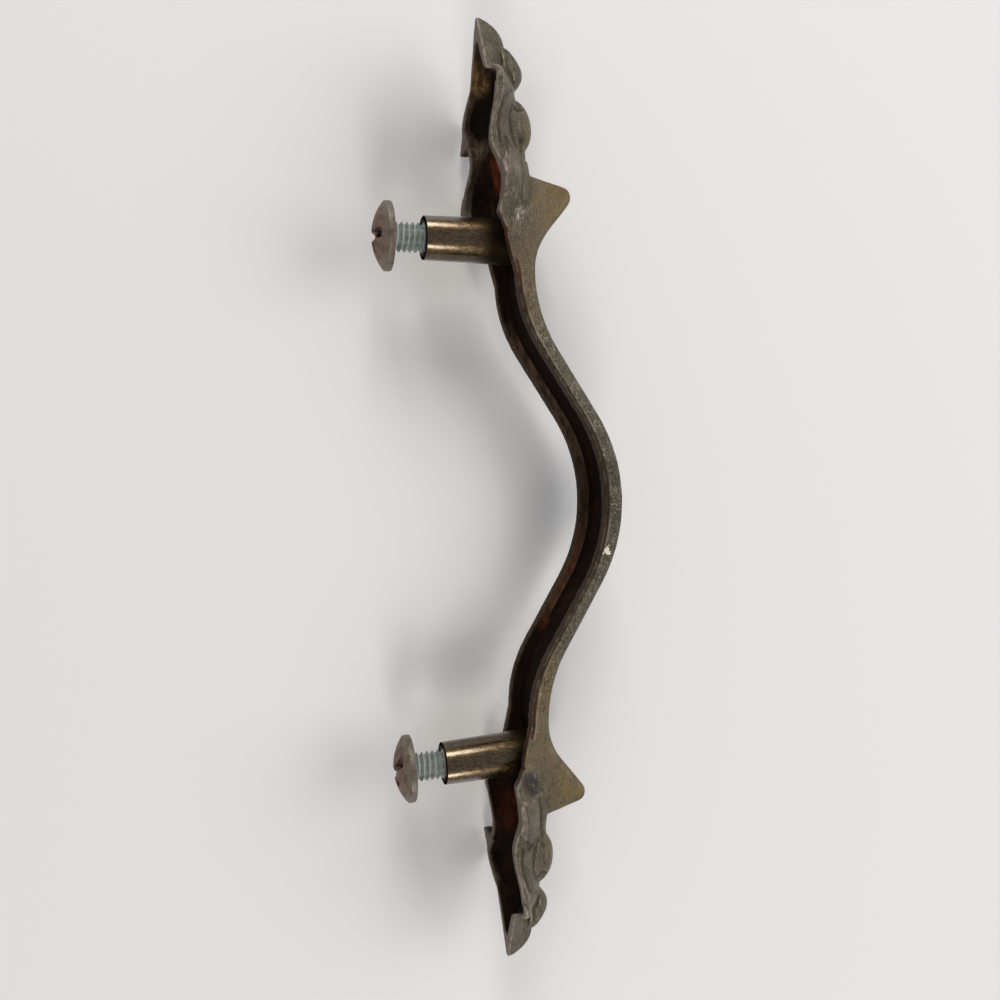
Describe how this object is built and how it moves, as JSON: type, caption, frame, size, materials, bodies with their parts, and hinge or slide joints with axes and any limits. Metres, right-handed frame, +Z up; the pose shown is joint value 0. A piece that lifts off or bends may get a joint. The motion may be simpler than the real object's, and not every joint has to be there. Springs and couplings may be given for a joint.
{
  "type": "drawer pull",
  "caption": "Bow drawer pull with leaf-shaped ends and flared ears, cast hollow at the back, with tapped posts and truss-head machine screws partly driven into them.",
  "frame": {"origin": "midway between the posts' axes, on the plane of the posts' ends, which bear on the drawer front", "axes": "+X along the pull, -Y forward to the user, +Y into the drawer front, +Z up when it is fixed level"},
  "size_m": [0.139, 0.035, 0.02],
  "materials": {
    "casting": "antique brass plating, darkened and rubbed, with brown and reddish patches in the hollow back",
    "screws": "zinc plated steel, dull and browned on the heads"
  },
  "bodies": {
    "pull": {"pull_casting": "casting"},
    "right_screw_body": {"right_screw": "screws"},
    "left_screw_body": {"left_screw": "screws"}
  },
  "joints": [
    {"name": "right_screw_travel", "type": "slide", "parent": "pull", "child": "right_screw_body", "axis": [0, 1, 0], "range_m": [-0.002, 0.011]},
    {"name": "left_screw_travel", "type": "slide", "parent": "pull", "child": "left_screw_body", "axis": [0, 1, 0], "range_m": [-0.002, 0.011]}
  ]
}
